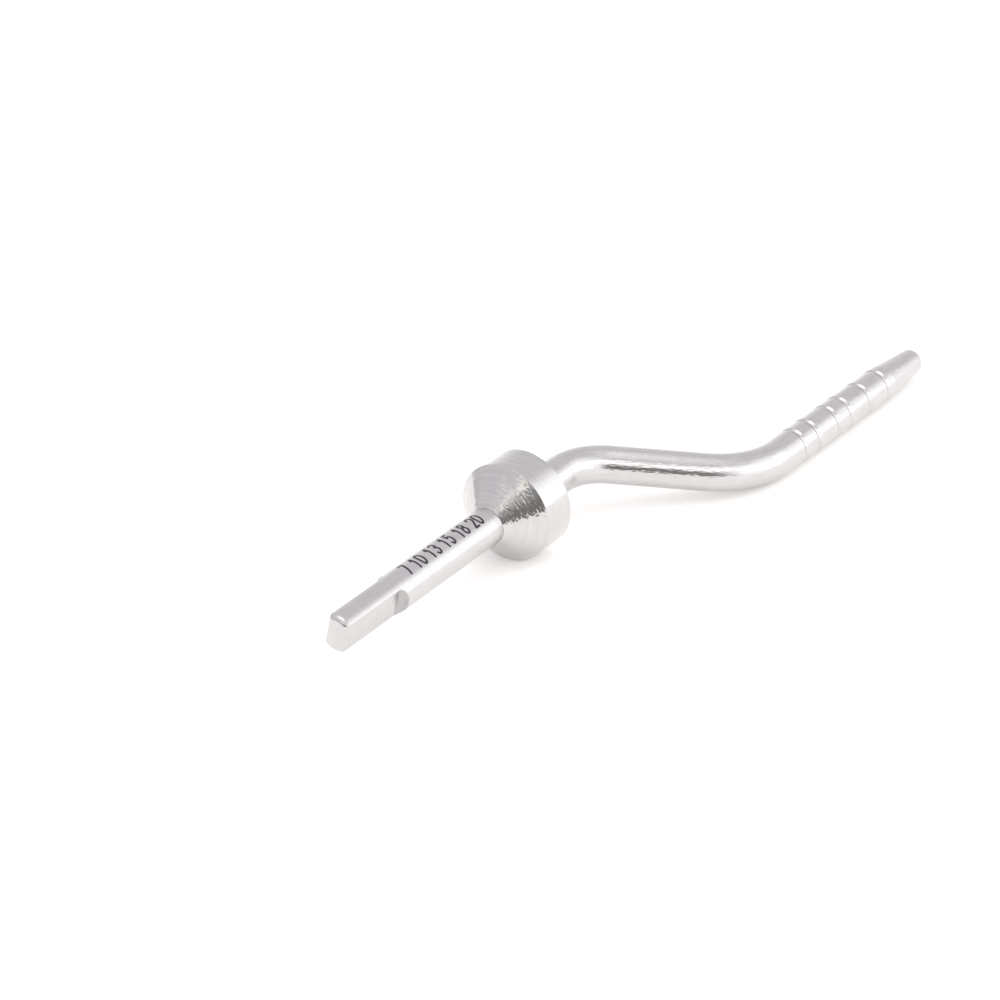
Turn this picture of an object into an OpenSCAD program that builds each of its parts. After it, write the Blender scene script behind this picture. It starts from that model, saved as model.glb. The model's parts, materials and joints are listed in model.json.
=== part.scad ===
// Interchangeable osteotome insert: a flatted drive shank, a conical seat collar and a working
// rod with an offset double bend and a graduated round-nosed end.
// Each piece is drawn in the instrument's own frame: X runs along the shank axis towards the
// working end, x = 0 is the shoulder where the shank meets the seat cone, and the rod bends in
// the XY plane towards -Y. The whole instrument is then laid down as it rests on a table.

/* [Drive shank] */
// Diameter of the round shank
shank_d = 2.9; // [2.5:0.05:3.6]
// Length of the shank from its free end to the seat cone
shank_len = 17.9; // [14:0.1:24]
// Length of the two flats, up to where the cutter starts to run out
tang_len = 5.8; // [3:0.1:8]
// Thickness across the two flats
tang_t = 1.65; // [1.3:0.05:2.1]
// Turn of the flats about the shank axis, away from square to the bend
tang_clock = 3; // [-6:0.5:6]
// Radius of the cutter that leaves the run-out at the end of each flat
cutter_r = 0.7; // [0.5:0.05:1.2]
// Rounding of the free end's edges
end_round = 0.4; // [0.1:0.05:0.4]

/* [Seat collar] */
// Largest diameter of the collar
collar_d = 7.8; // [6.4:0.1:9.6]
// Length of the seat cone along the axis
cone_len = 2.2; // [1.6:0.05:3]
// Length of the cylindrical band behind the cone, its edge breaks included
band_len = 3.0; // [2.4:0.05:4]
// Edge break on both rims of the band
rim_break = 0.08; // [0.02:0.01:0.2]

/* [Pressed joints] */
// Diameter of the shank's spigot inside the collar
shank_spigot_d = 2.0; // [1.5:0.05:2.2]
// Length of the shank's spigot
shank_spigot_len = 2.4; // [1.5:0.05:2.8]
// Diameter of the rod's spigot inside the collar
rod_spigot_d = 2.4; // [2:0.05:2.45]
// Gap left between the ends of the two spigots
spigot_gap = 0.3; // [0.1:0.05:0.6]
// Radial gap between a spigot and its bore
fit_gap = 0.01; // [0.005:0.005:0.02]

/* [Working rod] */
// Diameter of the rod
rod_d = 3.0; // [2.5:0.05:3.6]
// Straight length between the collar and the first bend
lead_len = 4.0; // [3:0.1:6]
// Centreline radius of the first bend
bend1_r = 5.5; // [4:0.1:8]
// Angle of the first bend
bend1_angle = 50; // [35:1:60]
// Straight length between the two bends
offset_len = 7.5; // [5:0.1:10]
// Centreline radius of the second bend
bend2_r = 8.5; // [6:0.1:12]
// Angle of the second bend
bend2_angle = 48; // [35:1:60]
// How much thinner bending leaves the rod through its bends
bend_thinning = 0.01; // [0.01:0.01:0.05]

/* [Graduated end] */
// Distances of the depth rings from the end of the nose
ring_depths = [7, 10, 13, 15, 18, 20];
// Plain straight length between the deepest ring and the second bend
plain_len = 2.0; // [1:0.1:6]
// Width of a ring groove at the surface
ring_w = 0.6; // [0.3:0.05:0.9]
// Depth of a ring groove
ring_cut = 0.1; // [0.04:0.01:0.2]
// Length over which the end tapers, nose included
taper_len = 5.9; // [3:0.1:6.5]
// Diameter that the taper would reach at the very end, before the nose is rounded
taper_end_d = 2.1; // [1.6:0.05:2.2]
// How far the nose ball stands proud of the taper where the ball begins
nose_lip = 0.01; // [0.01:0.01:0.05]

/* [Hidden] */
$fn = 96;

shank_r = shank_d / 2;
rod_r = rod_d / 2;
collar_r = collar_d / 2;
collar_len = cone_len + band_len;
// The two spigots share the collar's length, and the step between their bores is mid-gap
rod_spigot_len = collar_len - shank_spigot_len - spigot_gap;
bore_step = shank_spigot_len + spigot_gap / 2;
tip_len = max(ring_depths) + plain_len;
bend_d = rod_d - bend_thinning;
// The straight stretches run this far into the thinner bends, which keeps the rod one solid
lap = 0.05;
// The nose ball is wider than the taper by the lip, so no ledge is left where the ball begins
taper_slope = (rod_r - taper_end_d / 2) / taper_len;
nose_r = taper_end_d / 2 / (1 - taper_slope) + nose_lip;

// The working end runs almost parallel to the shank: it splays outwards by the difference of the bends
splay = bend1_angle - bend2_angle;
tip_dir = [cos(splay), -sin(splay), 0];
// Start of the straight working end, where the second bend stops
tip_start = [
    collar_len + lead_len + bend1_r * sin(bend1_angle)
        + offset_len * cos(bend1_angle) + bend2_r * (sin(bend1_angle) - sin(splay)),
    -bend1_r * (1 - cos(bend1_angle)) - offset_len * sin(bend1_angle)
        - bend2_r * (cos(splay) - cos(bend1_angle)),
    0
];
// Lying down, the instrument rests on one rim of the band and on the straight working end. The
// plane under both is tilted about the working end's direction.
rest_rim_x = splay >= 0 ? cone_len + rim_break : collar_len - rim_break;
rim_to_tip_axis = (rest_rim_x - tip_start[0]) * sin(splay) - tip_start[1] * cos(splay);
rest_tilt = asin((collar_r - rod_r) / rim_to_tip_axis);

steel = [0.80, 0.79, 0.80];
satin_steel = [0.74, 0.73, 0.75];

module lay_down() {
    rotate(a = rest_tilt, v = tip_dir) children();
}

// Turns a shape drawn along Z so that it runs along X
module along_x() {
    rotate([0, 90, 0]) children();
}

module round_bar(diameter, length) {
    along_x() cylinder(d = diameter, h = length);
}

// A bend that starts at the origin heading along +X and curves towards -Y
module right_bend(radius, angle, diameter) {
    translate([0, -radius, 0])
        rotate([0, 0, 90 - angle])
            rotate_extrude(angle = angle)
                translate([radius, 0]) circle(d = diameter);
}

// Carries its children from the start of a right bend to its end
module past_right_bend(radius, angle) {
    translate([radius * sin(angle), -radius * (1 - cos(angle)), 0])
        rotate([0, 0, -angle]) children();
}

module left_bend(radius, angle, diameter) {
    mirror([0, 1, 0]) right_bend(radius, angle, diameter);
}

module past_left_bend(radius, angle) {
    translate([radius * sin(angle), radius * (1 - cos(angle)), 0])
        rotate([0, 0, angle]) children();
}

// Half outline of the turned shank, radius against distance from the free end
module shank_profile() {
    square([shank_r - end_round, shank_len]);
    translate([0, end_round]) square([shank_r, shank_len - end_round]);
    translate([shank_r - end_round, end_round]) circle(r = end_round);
}

// Outline seen along the flats: the tang with its rounded end, then the uncut shank
module flats_outline() {
    half_t = tang_t / 2;
    clear_of_shank = shank_d;
    difference() {
        union() {
            translate([end_round, -half_t]) square([shank_len - end_round, tang_t]);
            translate([0, end_round - half_t]) square([shank_len, tang_t - 2 * end_round]);
            for (side = [-1, 1])
                translate([end_round, side * (half_t - end_round)]) circle(r = end_round);
            translate([tang_len, -clear_of_shank])
                square([shank_len - tang_len, 2 * clear_of_shank]);
        }
        for (side = [0, 1]) mirror([0, side]) {
            translate([tang_len, half_t + cutter_r]) circle(r = cutter_r);
            translate([tang_len - cutter_r, half_t + cutter_r])
                square([2 * cutter_r, clear_of_shank]);
        }
    }
}

module drive_shank() {
    color(steel) lay_down() {
        translate([-shank_len, 0, 0]) intersection() {
            along_x() rotate_extrude() shank_profile();
            rotate([tang_clock, 0, 0])
                translate([0, 0, -shank_d]) linear_extrude(2 * shank_d) flats_outline();
        }
        round_bar(shank_spigot_d, shank_spigot_len);
    }
}

// Half section of the solid collar, radius against distance from the shank's shoulder
module collar_profile() {
    polygon([
        [0, 0],
        [shank_r, 0],
        [collar_r - rim_break, cone_len],
        [collar_r, cone_len + rim_break],
        [collar_r, collar_len - rim_break],
        [collar_r - rim_break, collar_len],
        [0, collar_len]
    ]);
}

module seat_collar() {
    cut_past = 1;
    color(satin_steel) lay_down() difference() {
        along_x() rotate_extrude() collar_profile();
        translate([-cut_past, 0, 0])
            round_bar(shank_spigot_d + 2 * fit_gap, bore_step + cut_past);
        translate([bore_step, 0, 0])
            round_bar(rod_spigot_d + 2 * fit_gap, collar_len - bore_step + cut_past);
    }
}

// Half outline of the tapered end, radius against distance from where the taper starts
module nose_profile() {
    intersection() {
        polygon([[0, 0], [rod_r, 0], [taper_end_d / 2, taper_len], [0, taper_len]]);
        union() {
            square([rod_r, taper_len - nose_r]);
            translate([0, taper_len - nose_r]) circle(r = nose_r);
        }
    }
}

// A ring groove with a round bottom, centred on x = 0
module ring_groove() {
    groove_r = (pow(ring_w / 2, 2) + pow(ring_cut, 2)) / (2 * ring_cut);
    along_x() rotate_extrude()
        translate([rod_r - ring_cut + groove_r, 0]) circle(r = groove_r);
}

module graduated_end() {
    difference() {
        translate([-lap, 0, 0]) round_bar(rod_d, lap + tip_len - taper_len);
        for (depth = ring_depths)
            translate([tip_len - depth, 0, 0]) ring_groove();
    }
    translate([tip_len - taper_len, 0, 0]) along_x() rotate_extrude() nose_profile();
}

module working_rod() {
    color(steel) lay_down() translate([collar_len, 0, 0]) {
        translate([-rod_spigot_len, 0, 0]) round_bar(rod_spigot_d, rod_spigot_len);
        round_bar(rod_d, lead_len + lap);
        translate([lead_len, 0, 0]) {
            right_bend(bend1_r, bend1_angle, bend_d);
            past_right_bend(bend1_r, bend1_angle) {
                translate([-lap, 0, 0]) round_bar(rod_d, offset_len + 2 * lap);
                translate([offset_len, 0, 0]) {
                    left_bend(bend2_r, bend2_angle, bend_d);
                    past_left_bend(bend2_r, bend2_angle) graduated_end();
                }
            }
        }
    }
}

drive_shank();
seat_collar();
working_rod();
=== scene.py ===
import json
import math

import bpy
import numpy as np
from mathutils import Matrix, Quaternion, Vector


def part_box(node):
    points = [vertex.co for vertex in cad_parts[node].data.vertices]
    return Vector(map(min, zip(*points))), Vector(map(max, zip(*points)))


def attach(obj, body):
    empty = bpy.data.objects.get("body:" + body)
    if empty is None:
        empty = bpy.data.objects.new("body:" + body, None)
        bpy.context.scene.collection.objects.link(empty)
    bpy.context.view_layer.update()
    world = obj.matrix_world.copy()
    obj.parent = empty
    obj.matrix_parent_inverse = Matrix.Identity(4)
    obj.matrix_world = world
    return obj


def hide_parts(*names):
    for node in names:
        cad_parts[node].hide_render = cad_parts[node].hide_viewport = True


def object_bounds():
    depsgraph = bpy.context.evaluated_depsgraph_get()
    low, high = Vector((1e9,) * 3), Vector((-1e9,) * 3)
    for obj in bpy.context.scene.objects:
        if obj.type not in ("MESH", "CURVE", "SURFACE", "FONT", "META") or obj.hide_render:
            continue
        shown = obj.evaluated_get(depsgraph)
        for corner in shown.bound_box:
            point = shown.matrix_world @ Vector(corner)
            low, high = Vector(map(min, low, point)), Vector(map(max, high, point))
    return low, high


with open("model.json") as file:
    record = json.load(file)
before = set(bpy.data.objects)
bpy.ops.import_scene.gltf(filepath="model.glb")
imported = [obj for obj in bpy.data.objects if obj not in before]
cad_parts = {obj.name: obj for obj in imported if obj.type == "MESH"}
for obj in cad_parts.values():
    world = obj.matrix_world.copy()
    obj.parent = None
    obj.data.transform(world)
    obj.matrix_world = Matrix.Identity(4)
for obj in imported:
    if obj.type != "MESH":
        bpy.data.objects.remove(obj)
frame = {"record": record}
cad_low, cad_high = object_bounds()

# Shapes are worked out in millimetres in the instrument's own frame: X along the shank towards
# the working end, x = 0 at the shank's shoulder, Z up. Meshes are in metres.
MM = 0.001
# How far a piece may lie from its packed box, and the shank from its packed place and heading
BOX_TOLERANCE = 0.05
PLACE_TOLERANCE = 0.01
HEADING_TOLERANCE = 1e-4

# Drive shank
SHANK_R = 1.45
SHANK_LEN = 17.9
TANG_LEN = 5.8
TANG_T = 1.65
TANG_CLOCK = math.radians(3)
CUTTER_R = 0.7
END_ROUND = 0.4
SHANK_SPIGOT_R = 1.0
SHANK_SPIGOT_LEN = 2.4

# The depth numbers marked on the shank: each digit's strokes in a box of width 1 and height 1, as
# lines of (x, y) points or as arcs of (centre x, centre y, radius x, radius y, start, end)
DIGITS = {
    "0": [(0.5, 0.5, 0.5, 0.5, 0, 360)],
    "1": [((0.5, 0), (0.5, 1), (0.15, 0.72))],
    "2": [(0.5, 0.7, 0.45, 0.3, 165, -35), ((0.87, 0.53), (0.05, 0), (0.95, 0))],
    "3": [(0.5, 0.76, 0.4, 0.24, 150, -90), (0.5, 0.27, 0.46, 0.27, 90, -150)],
    "5": [((0.88, 1), (0.2, 1), (0.14, 0.55)), (0.47, 0.33, 0.43, 0.33, 135, -145)],
    "7": [((0.05, 1), (0.95, 1), (0.38, 0))],
    "8": [(0.5, 0.76, 0.36, 0.24, 0, 360), (0.5, 0.27, 0.46, 0.27, 0, 360)],
}
DIGIT_W = 0.44
DIGIT_H = 1.16
DIGIT_GAP = 0.2
WORD_GAP = 0.42
STROKE_W = 0.19
ARC_POINTS = 25
# Where the row starts along X, the angle of its foot round the shank, and how far from a stroke's
# edge the distance to it is followed
MARK_START = -10.3
MARK_BASE = math.radians(70)
MARK_REACH = 0.2

# Seat collar
COLLAR_R = 3.9
CONE_LEN = 2.2
BAND_LEN = 3.0
COLLAR_LEN = CONE_LEN + BAND_LEN
RIM_BREAK = 0.08
FIT_GAP = 0.01
SPIGOT_GAP = 0.3

# Turned grooves on the cone, and the share of the cone's tool marks that is left on the band
GROOVE_PITCH = 0.13
GROOVE_DEPTH = 0.006
GROOVE_MARGIN = 0.06
GROOVE_UNEVENNESS = 0.25
GROOVE_SWELL = 2.3
BAND_MARKS = 0.02

# Working rod
ROD_R = 1.5
ROD_SPIGOT_R = 1.2
ROD_SPIGOT_LEN = COLLAR_LEN - SHANK_SPIGOT_LEN - SPIGOT_GAP
LEAD_LEN = 4.0
BEND1_R = 5.5
BEND1_ANGLE = math.radians(50)
OFFSET_LEN = 7.5
BEND2_R = 8.5
BEND2_ANGLE = math.radians(48)
RING_DEPTHS = (7, 10, 13, 15, 18, 20)
PLAIN_LEN = 2.0
RING_W = 0.6
RING_CUT = 0.1
TAPER_LEN = 5.9
TAPER_END_R = 1.05
NOSE_LIP = 0.01
TIP_LEN = max(RING_DEPTHS) + PLAIN_LEN

SPLAY = BEND1_ANGLE - BEND2_ANGLE

# Meshes: points round the rod and the collar, points on a rounding, how near to the end of a straight
# stretch its last point lies, the least radius, next to the middle of a spigot's end, and the break on
# a spigot's hidden edge
ROD_SEGMENTS = 144
COLLAR_SEGMENTS = 256
ROUNDING_POINTS = 7
GUARD = 0.02
INNER_R = 0.1
SPIGOT_BREAK = 0.1

# Camera: metres and a lens in millimetres. It looks at AIM, and azimuth 0 looks along +Y.
VIEW_AZIMUTH = math.radians(-53.44)
VIEW_ELEVATION = math.radians(27.33)
VIEW_ROLL = math.radians(-3.01)
VIEW_DISTANCE = 0.18275
VIEW_LENS = 88.3
AIM = Vector((0.00380, 0.00156, 0.0))


def lay_down():
    """The rotation that lays the instrument down from its own frame, as it rests on a table."""
    tip_start_x = (COLLAR_LEN + LEAD_LEN + BEND1_R * math.sin(BEND1_ANGLE)
                   + OFFSET_LEN * math.cos(BEND1_ANGLE)
                   + BEND2_R * (math.sin(BEND1_ANGLE) - math.sin(SPLAY)))
    tip_start_y = (-BEND1_R * (1 - math.cos(BEND1_ANGLE)) - OFFSET_LEN * math.sin(BEND1_ANGLE)
                   - BEND2_R * (math.cos(SPLAY) - math.cos(BEND1_ANGLE)))
    rim_to_tip_axis = ((CONE_LEN + RIM_BREAK - tip_start_x) * math.sin(SPLAY)
                       - tip_start_y * math.cos(SPLAY))
    tilt = math.asin((COLLAR_R - ROD_R) / rim_to_tip_axis)
    return Matrix.Rotation(tilt, 4, Vector((math.cos(SPLAY), -math.sin(SPLAY), 0)))


LAID = lay_down()


def check_against_frame(mounts):
    """Stops the script if the sizes above don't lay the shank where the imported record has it."""
    axis = Vector(mounts["shank"]["axis"])
    free_end = Vector(mounts["strike_end"]["pos_m"])
    if (LAID @ Vector((-1, 0, 0)) - axis).length > HEADING_TOLERANCE:
        raise ValueError("the instrument isn't laid down as the packed record says")
    if (LAID @ Vector((-SHANK_LEN * MM, 0, 0)) - free_end).length > PLACE_TOLERANCE * MM:
        raise ValueError("the shank isn't as long as the packed record says")


check_against_frame({m["name"]: m for m in frame["record"]["mounts"]})


def check_box(node, points):
    """Stops the script if a piece doesn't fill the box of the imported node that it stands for."""
    low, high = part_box(node)
    off = max(np.abs(points.min(0) - np.array(low)).max(), np.abs(points.max(0) - np.array(high)).max())
    if off > BOX_TOLERANCE * MM:
        raise ValueError(f"{node} is {off / MM:.3f} mm away from its packed box")


# ---------------------------------------------------------------- outlines

def spaced(start, end, pitch):
    """Numbers from start to end, about pitch apart, with one more close to each end."""
    length = end - start
    count = max(2, int(math.ceil(length / pitch)) + 1)
    inner = np.linspace(start, end, count)
    if length > 4 * GUARD:
        inner = np.concatenate([[start, start + GUARD], inner[1:-1], [end - GUARD, end]])
    return np.unique(np.round(inner, 6))


def rounded_outline(corners):
    """Points along a line of corners, each given as (along, radius, rounding, pitch to the next)."""
    points = []
    last = len(corners) - 1
    for i, (x, r, rounding, _) in enumerate(corners):
        here = np.array((x, r))
        if rounding and 0 < i < last:
            to_last = np.array(corners[i - 1][:2]) - here
            to_next = np.array(corners[i + 1][:2]) - here
            to_last /= np.linalg.norm(to_last)
            to_next /= np.linalg.norm(to_next)
            half_turn = math.acos(np.clip(-to_last @ to_next, -1, 1)) / 2
            reach = rounding * math.tan(half_turn)
            bisector = (to_last + to_next) / np.linalg.norm(to_last + to_next)
            centre = here + bisector * rounding / math.cos(half_turn)
            start, end = here + to_last * reach, here + to_next * reach
            stretch = []
            for t in np.linspace(0, 1, ROUNDING_POINTS):
                spoke = (start - centre) * (1 - t) + (end - centre) * t
                stretch.append(centre + spoke / np.linalg.norm(spoke) * rounding)
        else:
            stretch = [here]
        if points:
            step = corners[i - 1][3]
            begin, finish = points[-1], stretch[0]
            length = np.linalg.norm(finish - begin)
            if length > 1e-9:
                for d in spaced(0, length, step)[1:-1]:
                    points.append(begin + (finish - begin) * d / length)
        points += stretch
    return np.array(points)


def skin(name, rings, stock, looped, material, slot, node, **shares):
    """A closed mesh through the rings, an array of rings x points x 3 in millimetres.

    A looped piece runs from its last ring back to its first. Any other is closed by a fan at each end.
    stock holds each point's place on the straight bar that the piece was made from, and shares hold
    one more number for each point under a name of its own. All are stored for the materials.
    """
    rows, columns = rings.shape[:2]
    points = rings.reshape(-1, 3)
    places = stock.reshape(-1, 3)
    row = np.arange(rows if looped else rows - 1)
    column = np.arange(columns)
    a = (row[:, None] * columns + column[None, :]).ravel()
    b = (row[:, None] * columns + (column[None, :] + 1) % columns).ravel()
    c = (((row[:, None] + 1) % rows) * columns + (column[None, :] + 1) % columns).ravel()
    d = (((row[:, None] + 1) % rows) * columns + column[None, :]).ravel()
    faces = np.stack([a, b, c, d], 1).tolist()
    if not looped:
        first, last = len(points), len(points) + 1
        points = np.concatenate([points, rings[0].mean(0)[None], rings[-1].mean(0)[None]])
        places = np.concatenate([places, stock[0].mean(0)[None], stock[-1].mean(0)[None]])
        end = (rows - 1) * columns
        faces += [(first, (i + 1) % columns, i) for i in range(columns)]
        faces += [(last, end + i, end + (i + 1) % columns) for i in range(columns)]
    laid = points @ np.array(LAID.to_3x3()).T * MM
    check_box(node, laid)
    mesh = bpy.data.meshes.new(name)
    mesh.from_pydata(laid.tolist(), [], faces)
    mesh.polygons.foreach_set("use_smooth", np.ones(len(mesh.polygons), bool))
    attribute = mesh.attributes.new("stock", "FLOAT_VECTOR", "POINT")
    attribute.data.foreach_set("vector", places.astype(np.float32).ravel())
    for key, share in shares.items():
        values = np.full(len(points), share.min(), np.float32)
        values[:share.size] = share.ravel()
        mesh.attributes.new(key, "FLOAT", "POINT").data.foreach_set("value", values)
    mesh.update()
    mesh.materials.append(material)
    piece = bpy.data.objects.new(name, mesh)
    bpy.context.scene.collection.objects.link(piece)
    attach(piece, "root")
    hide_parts(node)
    return piece


# ---------------------------------------------------------------- pieces

def turned(outline, segments):
    """Rings of a turned piece along the X axis, from its outline of (along, radius)."""
    angle = np.linspace(0, 2 * math.pi, segments, endpoint=False)
    along = outline[:, 0, None] + 0 * angle
    side = -outline[:, 1, None] * np.cos(angle)
    height = outline[:, 1, None] * np.sin(angle)
    return np.stack([along, side, height], -1)


def cut_grooves(outline):
    """Cuts the fine turned grooves into the cone's stretch of the collar's outline."""
    start = np.array((0, SHANK_R))
    run = np.array((CONE_LEN, COLLAR_R - RIM_BREAK)) - start
    slant = np.linalg.norm(run)
    run /= slant
    outward = np.array((-run[1], run[0]))
    along = (outline - start) @ run
    off = np.abs((outline - start) @ outward)
    on_cone = (off < 1e-6) & (along > GROOVE_MARGIN) & (along < slant - GROOVE_MARGIN)
    share = (along - GROOVE_MARGIN) / GROOVE_PITCH
    depth = GROOVE_DEPTH * np.abs(np.sin(math.pi * share))
    # The grooves aren't all equally deep
    depth *= 1 - GROOVE_UNEVENNESS + GROOVE_UNEVENNESS * np.sin(GROOVE_SWELL * share)
    return outline - outward * np.where(on_cone, depth, 0)[:, None]


def seat_collar(material):
    """The collar: cone, band and stepped bore, from one closed outline."""
    break_round = 0.03
    corner_round = 0.02
    bore_step = SHANK_SPIGOT_LEN + SPIGOT_GAP / 2
    small_bore, large_bore = SHANK_SPIGOT_R + FIT_GAP, ROD_SPIGOT_R + FIT_GAP
    # Distances between points: the fine one is about a sixth of the grooves' pitch
    fine, on_band, on_rear, coarse = 0.0217, 0.06, 0.1, 0.4
    corners = [
        (0, small_bore, 0, coarse),
        (0, SHANK_R, corner_round, fine),
        (CONE_LEN, COLLAR_R - RIM_BREAK, break_round, fine),
        (CONE_LEN + RIM_BREAK, COLLAR_R, break_round, on_band),
        (COLLAR_LEN - RIM_BREAK, COLLAR_R, break_round, fine),
        (COLLAR_LEN, COLLAR_R - RIM_BREAK, break_round, on_rear),
        (COLLAR_LEN, large_bore, corner_round, coarse),
        (bore_step, large_bore, 0, coarse),
        (bore_step, small_bore, 0, coarse),
    ]
    outline = cut_grooves(rounded_outline(corners))
    rings = turned(outline, COLLAR_SEGMENTS)
    return skin("seat_collar_turned", rings, rings.copy(), True, material,
                "collar_steel", "seat_collar")


def flat_half_thickness(u):
    """Half the thickness across the flats at a distance u from the free end, run-out included."""
    half = np.full_like(u, TANG_T / 2)
    out = np.clip(u - TANG_LEN, 0, CUTTER_R)
    half += CUTTER_R - np.sqrt(CUTTER_R ** 2 - out ** 2)
    return np.where(u >= TANG_LEN + CUTTER_R, 2 * SHANK_R, half)


def shank_angles(half, radius):
    """Angles round the shank from the right flat's normal, gathered at the flats' edges."""
    least, most = math.radians(8), math.radians(80)
    flat_points, round_points = 16, 48
    flat_gathering, round_gathering = 1.6, 1.35
    edge = np.arccos(np.clip(half / radius, math.cos(most), math.cos(least)))[:, None]
    on_flat = 1 - (1 - np.linspace(0, 1, flat_points, endpoint=False)) ** flat_gathering
    on_round = np.linspace(0, 1, round_points, endpoint=False) ** round_gathering
    first = np.concatenate([edge * on_flat, edge + (math.pi / 2 - edge) * on_round], 1)
    quarter = np.full_like(edge, math.pi / 2)
    half_turn = np.concatenate([first, quarter, math.pi - first[:, :0:-1]], 1)
    return np.concatenate([half_turn, math.pi + half_turn], 1)


def strokes(text):
    """The strokes of a row of digits, as lines of points in millimetres from the row's start."""
    lines, start = [], 0.0
    for character in text:
        if character == " ":
            start += WORD_GAP
            continue
        for stroke in DIGITS[character]:
            if isinstance(stroke[0], tuple):
                shape = np.array(stroke, float)
            else:
                cx, cy, rx, ry, begin, end = stroke
                turn = np.radians(np.linspace(begin, end, ARC_POINTS))
                shape = np.stack([cx + rx * np.cos(turn), cy + ry * np.sin(turn)], 1)
            lines.append(shape * (DIGIT_W, DIGIT_H) + (start, 0))
        start += DIGIT_W + DIGIT_GAP
    return lines


def depth_inside(lines, x, y):
    """How far each point (x, y) is inside the drawn strokes, in millimetres: negative outside."""
    nearest = np.full(x.shape, np.inf)
    for line in lines:
        for (ax, ay), (bx, by) in zip(line[:-1], line[1:]):
            dx, dy = bx - ax, by - ay
            share = np.clip(((x - ax) * dx + (y - ay) * dy) / (dx * dx + dy * dy), 0, 1)
            nearest = np.minimum(nearest, np.hypot(x - ax - share * dx, y - ay - share * dy))
    return np.clip(STROKE_W / 2 - nearest, -MARK_REACH, MARK_REACH)


def drive_shank(material):
    """The shank: end face, round body with its two flats, shoulder and spigot, and its marking."""
    # The higher the power, the sharper the edges where the flats meet the round
    corner_power = 90.0
    shoulder_break = 0.03
    milled_depth = 0.04
    face_shares = (0.06, 0.35, 0.65, 0.85, 0.95)
    on_flats, on_runout, on_round = 0.15, 0.03, 0.06
    round_end = END_ROUND * (1 - np.cos(np.linspace(0, math.pi / 2, 9)))
    runout_end = TANG_LEN + CUTTER_R
    u = np.unique(np.round(np.concatenate([
        round_end,
        spaced(END_ROUND, TANG_LEN, on_flats),
        spaced(TANG_LEN, runout_end, on_runout),
        spaced(runout_end, SHANK_LEN - shoulder_break, on_round),
    ]), 6))
    inset = END_ROUND - np.sqrt(np.maximum(0, END_ROUND ** 2 - np.clip(END_ROUND - u, 0, None) ** 2))
    radius = SHANK_R - inset
    half = flat_half_thickness(u) - inset
    angle = shank_angles(half, radius)
    to_flat = half[:, None] / np.maximum(np.abs(np.cos(angle)), 1e-6)
    reach = (radius[:, None] ** -corner_power + to_flat ** -corner_power) ** (-1 / corner_power)
    turn = angle - TANG_CLOCK
    along = (u - SHANK_LEN)[:, None] + 0 * angle
    body = np.stack([along, -reach * np.cos(turn), reach * np.sin(turn)], -1)
    face = []
    for share in face_shares:
        ring = body[0].copy()
        ring[:, 1:] *= share
        face.append(ring)
    foot = []
    foot_outline = (
        (0, SHANK_R - shoulder_break),
        (0, SHANK_SPIGOT_R),
        (SHANK_SPIGOT_LEN - SPIGOT_BREAK, SHANK_SPIGOT_R),
        (SHANK_SPIGOT_LEN, SHANK_SPIGOT_R - SPIGOT_BREAK),
        (SHANK_SPIGOT_LEN, INNER_R),
    )
    for x, r in foot_outline:
        ring = body[-1].copy()
        ring[:, 1:] *= r / SHANK_R
        ring[:, 0] = x
        foot.append(ring)
    rings = np.concatenate([np.array(face), body, np.array(foot)])
    around = np.arctan2(rings[..., 2], -rings[..., 1])
    drawn = strokes(" ".join(str(depth) for depth in RING_DEPTHS))
    marking = depth_inside(drawn, rings[..., 0] - MARK_START, (around - MARK_BASE) * SHANK_R)
    marking[rings[..., 0] > 0] = -MARK_REACH
    milled = np.zeros(rings.shape[:2])
    milled[len(face):-len(foot)] = np.clip((radius[:, None] - reach) / milled_depth, 0, 1)
    return skin("drive_shank_turned", rings, rings.copy(), False, material,
                "shank_steel", "drive_shank", marking=marking, milled=milled)


def bar_path(s):
    """Point and heading of the rod's centreline at distances s from the collar's rear face."""
    lengths = (LEAD_LEN, BEND1_R * BEND1_ANGLE, OFFSET_LEN, BEND2_R * BEND2_ANGLE, TIP_LEN)
    bends = (0, -1 / BEND1_R, 0, 1 / BEND2_R, 0)
    x, y, heading, start = COLLAR_LEN, 0.0, 0.0, 0.0
    px, py, ph = COLLAR_LEN + s, np.zeros_like(s), np.zeros_like(s)
    for length, bend in zip(lengths, bends):
        inside = s > start
        d = s[inside] - start
        if bend:
            h = heading + bend * d
            px[inside] = x + (np.sin(h) - math.sin(heading)) / bend
            py[inside] = y - (np.cos(h) - math.cos(heading)) / bend
            x += (math.sin(heading + bend * length) - math.sin(heading)) / bend
            y -= (math.cos(heading + bend * length) - math.cos(heading)) / bend
        else:
            h = np.full_like(d, heading)
            px[inside] = x + d * math.cos(heading)
            py[inside] = y + d * math.sin(heading)
            x += length * math.cos(heading)
            y += length * math.sin(heading)
        ph[inside] = h
        heading += bend * length
        start += length
    return px, py, ph


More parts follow.
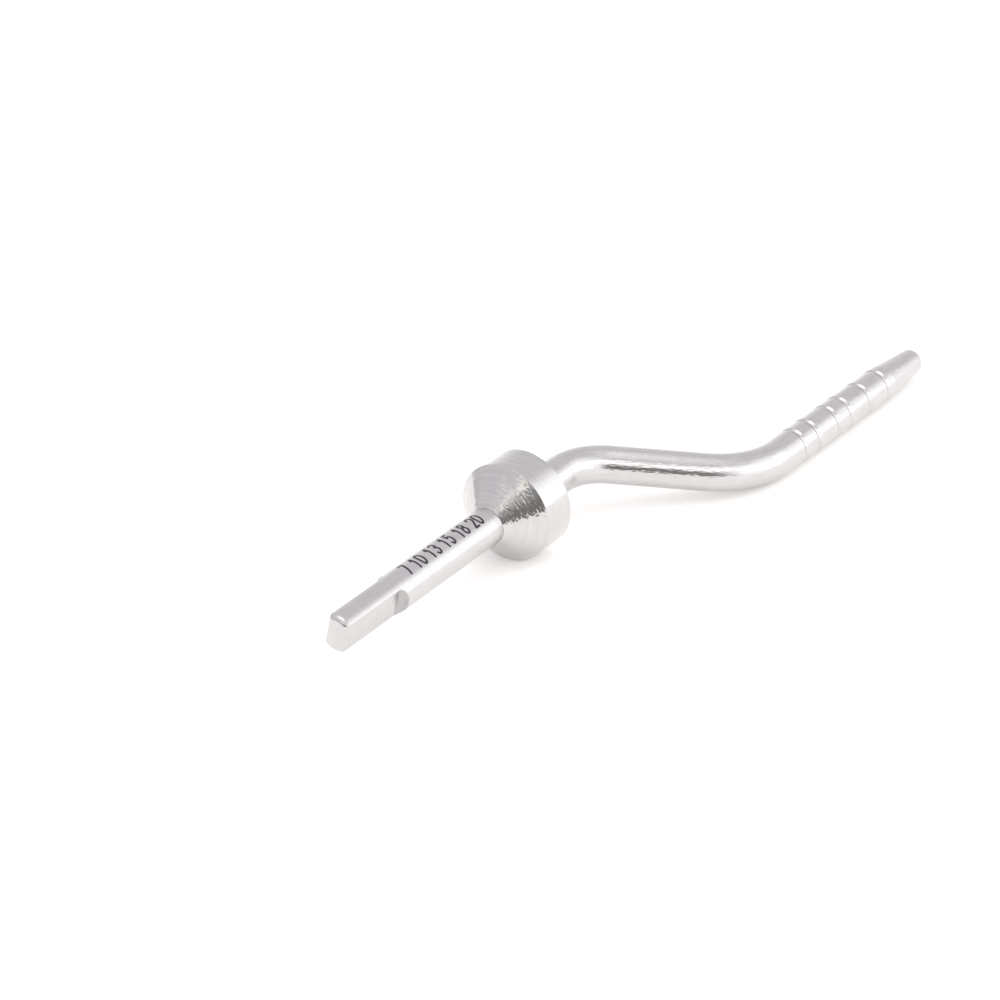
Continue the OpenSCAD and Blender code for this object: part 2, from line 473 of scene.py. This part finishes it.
def rod_outline():
    """The rod's outline along its centreline: spigot, straights and bends, rings, taper and nose."""
    bends_end = LEAD_LEN + BEND1_R * BEND1_ANGLE + OFFSET_LEN + BEND2_R * BEND2_ANGLE
    nose_end = bends_end + TIP_LEN
    taper_start = nose_end - TAPER_LEN
    slope = (ROD_R - TAPER_END_R) / TAPER_LEN
    nose_r = TAPER_END_R / (1 - slope) + NOSE_LIP
    lip, bottom, into_taper = 0.05, 0.25, 0.5
    on_spigot, on_bar, on_groove, on_bottom, on_taper = 0.4, 0.14, 0.05, 0.03, 0.1
    corners = [
        (-ROD_SPIGOT_LEN, INNER_R, 0, on_spigot),
        (-ROD_SPIGOT_LEN, ROD_SPIGOT_R - SPIGOT_BREAK, 0, on_spigot),
        (-ROD_SPIGOT_LEN + SPIGOT_BREAK, ROD_SPIGOT_R, 0, on_spigot),
        (0, ROD_SPIGOT_R, 0, on_spigot),
        (0, ROD_R, lip, on_bar),
    ]
    for depth in sorted(RING_DEPTHS, reverse=True):
        centre = nose_end - depth
        corners += [
            (centre - RING_W / 2, ROD_R, lip, on_groove),
            (centre - RING_W / 6, ROD_R - RING_CUT, bottom, on_bottom),
            (centre + RING_W / 6, ROD_R - RING_CUT, bottom, on_groove),
            (centre + RING_W / 2, ROD_R, lip, on_bar),
        ]
    corners.append((taper_start, ROD_R, into_taper, on_taper))
    ball = nose_end - nose_r
    ball_start, ball_end, ball_points = math.radians(6), math.radians(88), 26
    for angle in np.linspace(ball_start, ball_end, ball_points):
        corners.append((ball + nose_r * math.sin(angle), nose_r * math.cos(angle), 0, on_taper))
    return rounded_outline(corners)


def working_rod(material):
    """The rod: its outline turned round the bent centreline."""
    outline = rod_outline()
    s, r = outline[:, 0], outline[:, 1]
    px, py, heading = bar_path(s)
    angle = np.linspace(0, 2 * math.pi, ROD_SEGMENTS, endpoint=False)
    out = r[:, None] * np.cos(angle)
    up = r[:, None] * np.sin(angle)
    rings = np.stack([
        px[:, None] + out * np.sin(heading)[:, None],
        py[:, None] - out * np.cos(heading)[:, None],
        up,
    ], -1)
    stock = np.stack([s[:, None] + 0 * angle, -out, up], -1)
    return skin("working_rod_drawn", rings, stock, False, material, "rod_steel", "working_rod")


# ---------------------------------------------------------------- node graphs

class Graph:
    """Short ways to add shader nodes to a tree and join them up."""

    def __init__(self, tree):
        self.tree = tree

    def add(self, kind, inputs=None, **settings):
        """A new node with its settings, and with values or links fed into its inputs."""
        made = self.tree.nodes.new(kind)
        for key, value in settings.items():
            setattr(made, key, value)
        for key, value in (inputs or {}).items():
            self.feed(made.inputs[key], value)
        return made

    def feed(self, socket, value):
        """Links another node's output to a socket, or sets the socket to a value."""
        if isinstance(value, bpy.types.NodeSocket):
            self.tree.links.new(value, socket)
        elif isinstance(value, tuple) and socket.type == "RGBA":
            socket.default_value = (*value, 1)
        else:
            socket.default_value = value

    def maths(self, operation, *values):
        """The output of a maths node."""
        made = self.add("ShaderNodeMath", operation=operation)
        for socket, value in zip(made.inputs, values):
            self.feed(socket, value)
        return made.outputs[0]

    def smooth(self, value, low, high, out_low=0.0, out_high=1.0):
        """Runs softly from out_low to out_high as the value goes from low to high."""
        return self.add("ShaderNodeMapRange", interpolation_type="SMOOTHSTEP", inputs={
            "Value": value, "From Min": low, "From Max": high, "To Min": out_low, "To Max": out_high,
        }).outputs[0]

    def mixed(self, factor, a, b):
        """Colour a at a factor of 0, turning to colour b at 1."""
        made = self.add("ShaderNodeMix", data_type="RGBA")
        # The node's sockets share names between its data types, so the colour ones go by number
        for socket, value in zip((made.inputs[0], made.inputs[6], made.inputs[7]), (factor, a, b)):
            self.feed(socket, value)
        return made.outputs[2]

    def stretched(self, vector, scale):
        """A vector multiplied by a scale of its own along each axis."""
        made = self.add("ShaderNodeVectorMath", operation="MULTIPLY", inputs={0: vector, 1: scale})
        return made.outputs[0]

    def noise(self, vector, scale, detail=2.0, roughness=0.5):
        """Soft noise from 0 to 1, with its grains 1 / scale apart along each axis of the vector."""
        made = self.add("ShaderNodeTexNoise", inputs={
            "Vector": self.stretched(vector, scale),
            "Scale": 1.0,
            "Detail": detail,
            "Roughness": roughness,
        })
        return made.outputs[0]

    def bump(self, height, distance, normal=None):
        """A normal tilted by a height, where a height of 1 stands the distance high, in metres."""
        inputs = {"Height": height, "Distance": distance, "Strength": 1.0}
        if normal:
            inputs["Normal"] = normal
        return self.add("ShaderNodeBump", inputs=inputs).outputs[0]


# ---------------------------------------------------------------- materials

# Soft clouds over every steel: grains per mm, the noise's detail and roughness, and the stretch of
# cloud and tool marks together over which the colour and the roughness change
CLOUD_SCALE = (0.9, 0.9, 0.9)
CLOUD_DETAIL = 3.0
CLOUD_ROUGHNESS = 0.55
CLOUD_LOW = 0.6
CLOUD_HIGH = 1.4
# The darkest colour, the smoothest and the roughest finish, as shares of a steel's own
DARKEST = 0.93
SMOOTHEST = 0.8
ROUGHEST = 1.25

# Laser marking: grains per mm of its ragged edge, the width over which the edge wanders, where the
# black starts and is full (distances into a stroke, in millimetres) and its two blacks
RAGGED_SCALE = (18.0, 18.0, 18.0)
RAGGED_REACH = 0.05
BLACK_START = -0.015
BLACK_FULL = 0.02
BLACK = (0.035, 0.033, 0.04)
GREY_BLACK = (0.11, 0.105, 0.12)

# Run-outs: how far before and after the end of the flats their finish fades in, the cutter's lines per
# mm, their two greys and how high the lines stand against the tool marks. Both greys are darker than the
# steel:
# the lines are the cutter's, and the overall darkness is painted shade standing in for the run-outs'
# darker reflection
RUNOUT_BEFORE = 0.04
RUNOUT_AFTER = 0.06
FAN_SCALE = (16.0, 2.0, 2.0)
FAN_DARK_PAINTED_SHADE = (0.36, 0.36, 0.37)
FAN_PALE_PAINTED_SHADE = (0.56, 0.55, 0.55)
FAN_HEIGHT = 5.0
# How much rougher the marking and the run-outs are than the shank
WORKED_ROUGHNESS = 0.22


def new_material(name):
    """A new material with its graph and its shader."""
    material = bpy.data.materials.new(name)
    material.use_nodes = True
    return material, Graph(material.node_tree), material.node_tree.nodes["Principled BSDF"]


def bar_place(graph):
    """Where a point is on the straight bar that its piece was made from, in millimetres."""
    return graph.add("ShaderNodeAttribute", attribute_name="stock").outputs["Vector"]


def steel(name, colour, roughness, marks, fine_marks, relief, fine_relief, detail=1.0, extra=None):
    """Bright steel with tool marks.

    marks and fine_marks are how close together the marks lie along X, Y and Z of the bar, per mm.
    relief and fine_relief are how high they stand in millimetres, and detail is how much finer
    noise lies over them. extra may change the finish, the roughness and the two heights.
    """
    material, graph, shader = new_material(name)
    place = bar_place(graph)
    shader.inputs["Metallic"].default_value = 1.0
    coarse = graph.noise(place, marks, detail)
    fine = graph.noise(place, fine_marks, detail)
    cloud = graph.noise(place, CLOUD_SCALE, CLOUD_DETAIL, CLOUD_ROUGHNESS)
    tint = graph.smooth(graph.maths("ADD", coarse, cloud), CLOUD_LOW, CLOUD_HIGH)
    dull = tuple(c * DARKEST for c in colour)
    finish = graph.mixed(tint, dull, colour)
    rough = graph.smooth(graph.maths("ADD", fine, cloud), CLOUD_LOW, CLOUD_HIGH,
                         roughness * SMOOTHEST, roughness * ROUGHEST)
    if extra:
        finish, rough, coarse, fine = extra(graph, place, finish, rough, coarse, fine)
    normal = graph.bump(coarse, relief * MM)
    normal = graph.bump(fine, fine_relief * MM, normal)
    graph.feed(shader.inputs["Base Color"], finish)
    graph.feed(shader.inputs["Roughness"], rough)
    graph.feed(shader.inputs["Normal"], normal)
    return material


def along_bar(graph, place):
    """A point's distance along the bar, in millimetres."""
    return graph.add("ShaderNodeSeparateXYZ", inputs={0: place}).outputs[0]


def marked_and_milled(graph, place, finish, rough, coarse, fine):
    """Adds the dark laser marking and the cutter's rough run-outs, darkened with painted shade, to the
    shank's steel.
    """
    inside = graph.add("ShaderNodeAttribute", attribute_name="marking").outputs["Fac"]
    ragged = graph.noise(place, RAGGED_SCALE, 2.0)
    wander = graph.maths("MULTIPLY", graph.maths("SUBTRACT", ragged, 0.5), RAGGED_REACH)
    burnt = graph.smooth(graph.maths("ADD", inside, wander), BLACK_START, BLACK_FULL)
    soot = graph.mixed(ragged, BLACK, GREY_BLACK)
    milled = graph.add("ShaderNodeAttribute", attribute_name="milled").outputs["Fac"]
    runout_x = TANG_LEN - SHANK_LEN
    past_flats = graph.smooth(along_bar(graph, place), runout_x - RUNOUT_BEFORE, runout_x + RUNOUT_AFTER)
    at_runout = graph.maths("MULTIPLY", past_flats, milled)
    fan = graph.noise(place, FAN_SCALE, 2.0)
    # The run-outs get the cutter's lines in two greys darker than the steel: painted shade for their
    # darker reflection
    finish = graph.mixed(at_runout, finish, graph.mixed(fan, FAN_DARK_PAINTED_SHADE, FAN_PALE_PAINTED_SHADE))
    finish = graph.mixed(burnt, finish, soot)
    worked = graph.maths("MAXIMUM", burnt, at_runout)
    rough = graph.maths("ADD", rough, graph.maths("MULTIPLY", worked, WORKED_ROUGHNESS))
    fan_lines = graph.maths("MULTIPLY", graph.maths("MULTIPLY", fan, at_runout), FAN_HEIGHT)
    coarse = graph.maths("ADD", coarse, fan_lines)
    return finish, rough, coarse, fine


def rough_cone(graph, place, finish, rough, coarse, fine):
    """Leaves the collar's tool marks deep on its cone and fine on its band."""
    fade = 0.02
    depth = graph.smooth(along_bar(graph, place), CONE_LEN - fade, CONE_LEN + RIM_BREAK, 1.0, BAND_MARKS)
    coarse = graph.maths("MULTIPLY", coarse, depth)
    fine = graph.maths("MULTIPLY", fine, depth)
    return finish, rough, coarse, fine


def shank_steel():
    """Satin, with marks that run round the shank."""
    return steel("shank_steel", (0.61, 0.60, 0.605), 0.2, (7.0, 0.6, 0.6), (12.0, 3.0, 3.0),
                 0.003, 0.002, extra=marked_and_milled)


def collar_steel():
    """Turned, with marks that run round the collar."""
    return steel("collar_steel", (0.61, 0.60, 0.605), 0.12, (6.5, 0.45, 0.45), (12.0, 2.9, 2.9),
                 0.006, 0.026, detail=0.0, extra=rough_cone)


def rod_steel():
    """Polished, with faint drawing lines along the bar."""
    return steel("rod_steel", (0.62, 0.605, 0.61), 0.14, (0.3, 6.0, 6.0), (2.5, 8.0, 8.0),
                 0.003, 0.012, detail=0.0)


# ---------------------------------------------------------------- studio

# What the steel sees round it. Each patch has the azimuth of its middle, half its width, its lowest and
# highest elevation, and how soft its sides, its lower edge and its upper edge are, in degrees.
BACK_PATCH = (20, 48, -20, 14, 40, 2, 28)
KEY_PATCH = (-64, 36, -20, 43, 34, 2, 34)
EDGE_PATCH = (-108, 21, 25, 44, 14, 8, 12)
CREAM_PATCH = (-164, 15, 32, 46, 12, 4, 6)
DIM_PATCH = (-150, 24, -20, 33, 12, 2, 6)
DARK_PATCH = (-137, 26, -20, 18, 22, 2, 12)
# Elevations between which the low wall turns to wall, the wall to ceiling and the ceiling to its top
WALL_RISE = (0, 18)
CEILING_RISE = (54, 62)
TOP_RISE = (66, 80)


def add_floor():
    """A pale table that ends just out of the picture, on the camera's side, with a faint painted glow.
    """
    size, front = 1.6, 0.059
    pale, paler, painted_glow = (0.92, 0.91, 0.895), (0.95, 0.94, 0.925), (1.0, 1.0, 0.98, 1)
    clouds, grains, grain_height = (9.0, 9.0, 9.0), (900.0, 900.0, 900.0), 2e-5
    near = Vector((math.sin(VIEW_AZIMUTH), -math.cos(VIEW_AZIMUTH), 0))
    side = Vector((near.y, -near.x, 0)) * size
    middle = Vector((AIM.x, AIM.y, cad_low.z))
    corners = [near * front - side, near * front + side, -near * size + side, -near * size - side]
    mesh = bpy.data.meshes.new("table")
    mesh.from_pydata([middle + corner for corner in corners], [], [(3, 2, 1, 0)])
    material, graph, shader = new_material("pale_table")
    place = graph.add("ShaderNodeTexCoord").outputs["Object"]
    cloud = graph.noise(place, clouds, 3.0)
    graph.feed(shader.inputs["Base Color"], graph.mixed(cloud, pale, paler))
    graph.feed(shader.inputs["Normal"], graph.bump(graph.noise(place, grains), grain_height))
    # The table glows faintly: painted light that lifts its shadows and brightens it where the steel
    # reflects it
    shader.inputs["Emission Color"].default_value = painted_glow
    shader.inputs["Emission Strength"].default_value = 0.24
    shader.inputs["Roughness"].default_value = 0.6
    shader.inputs["Specular IOR Level"].default_value = 0.2
    mesh.materials.append(material)
    table = bpy.data.objects.new("table", mesh)
    bpy.context.scene.collection.objects.link(table)


def add_studio():
    """Pale walls, a wide soft light on the right and the dark open side by the camera.

    They show in the steel and light the scene. Behind the object the camera sees plain white.
    """
    world = bpy.data.worlds.new("studio")
    bpy.context.scene.world = world
    world.use_nodes = True
    graph = Graph(world.node_tree)
    direction = graph.add("ShaderNodeTexCoord").outputs["Generated"]
    x, y, z = graph.add("ShaderNodeSeparateXYZ", inputs={0: direction}).outputs
    elevation = graph.maths("MULTIPLY", graph.maths("ARCSINE", z), 180 / math.pi)

    def patch(azimuth, half_width, low, high, soft_side, soft_low, soft_high):
        """1 inside a patch of the surroundings, falling softly to 0 round it. Angles in degrees."""
        c, s = math.cos(math.radians(azimuth)), math.sin(math.radians(azimuth))
        ahead = graph.maths("ADD", graph.maths("MULTIPLY", x, c), graph.maths("MULTIPLY", y, s))
        aside = graph.maths("SUBTRACT", graph.maths("MULTIPLY", y, c), graph.maths("MULTIPLY", x, s))
        off = graph.maths("ABSOLUTE", graph.maths("ARCTAN2", aside, ahead))
        off = graph.maths("MULTIPLY", off, 180 / math.pi)
        sides = graph.smooth(off, half_width - soft_side / 2, half_width + soft_side / 2, 1.0, 0.0)
        above = graph.smooth(elevation, low - soft_low / 2, low + soft_low / 2)
        below = graph.smooth(elevation, high - soft_high / 2, high + soft_high / 2, 1.0, 0.0)
        return graph.maths("MULTIPLY", sides, graph.maths("MULTIPLY", above, below))

    low_wall = (0.76, 0.745, 0.765)
    wall = (0.88, 0.86, 0.885)
    ceiling = (1.15, 1.13, 1.14)
    top = (2.3, 2.25, 2.15)
    back = (1.2, 1.19, 1.2)
    key = (1.8, 1.8, 1.8)
    edge = (1.85, 1.83, 1.8)
    cream = (1.5, 1.44, 1.32)
    dim = (0.42, 0.42, 0.405)
    dark = (0.28, 0.26, 0.25)
    colour = graph.mixed(graph.smooth(elevation, *WALL_RISE), low_wall, wall)
    colour = graph.mixed(patch(*BACK_PATCH), colour, back)
    colour = graph.mixed(graph.smooth(elevation, *CEILING_RISE), colour, ceiling)
    colour = graph.mixed(graph.smooth(elevation, *TOP_RISE), colour, top)
    colour = graph.mixed(patch(*KEY_PATCH), colour, key)
    colour = graph.mixed(patch(*EDGE_PATCH), colour, edge)
    colour = graph.mixed(patch(*CREAM_PATCH), colour, cream)
    colour = graph.mixed(patch(*DIM_PATCH), colour, dim)
    colour = graph.mixed(patch(*DARK_PATCH), colour, dark)
    camera_ray = graph.add("ShaderNodeLightPath").outputs["Is Camera Ray"]
    colour = graph.mixed(camera_ray, colour, (1.0, 1.0, 1.0))
    graph.feed(world.node_tree.nodes["Background"].inputs["Color"], colour)


def add_fill():
    """A soft lamp from the right that lights the table and isn't seen in the steel."""
    azimuth, elevation, distance = math.radians(-60), math.radians(50), 0.8
    data = bpy.data.lights.new("fill", "AREA")
    data.energy = 0.9
    data.size = 0.8
    lamp = bpy.data.objects.new("fill", data)
    towards = Vector((
        math.cos(azimuth) * math.cos(elevation),
        math.sin(azimuth) * math.cos(elevation),
        math.sin(elevation),
    ))
    lamp.location = towards * distance
    lamp.rotation_euler = towards.to_track_quat("Z", "Y").to_euler()
    lamp.visible_glossy = False
    bpy.context.scene.collection.objects.link(lamp)


# ---------------------------------------------------------------- camera

def add_camera():
    """The camera, at the view's azimuth, elevation, roll and distance."""
    back = Vector((
        math.sin(VIEW_AZIMUTH) * math.cos(VIEW_ELEVATION),
        -math.cos(VIEW_AZIMUTH) * math.cos(VIEW_ELEVATION),
        math.sin(VIEW_ELEVATION),
    ))
    data = bpy.data.cameras.new("camera")
    data.lens = VIEW_LENS
    data.sensor_width = 36.0
    data.clip_start, data.clip_end = 0.005, 10.0
    camera = bpy.data.objects.new("camera", data)
    camera.rotation_mode = "QUATERNION"
    camera.location = AIM + back * VIEW_DISTANCE
    level = (-back).to_track_quat("-Z", "Y")
    camera.rotation_quaternion = Quaternion(back, VIEW_ROLL) @ level
    bpy.context.scene.collection.objects.link(camera)
    bpy.context.scene.camera = camera


add_camera()
add_floor()
add_studio()
add_fill()
bpy.context.scene.view_settings.view_transform = "Standard"

drive_shank(shank_steel())
seat_collar(collar_steel())
working_rod(rod_steel())
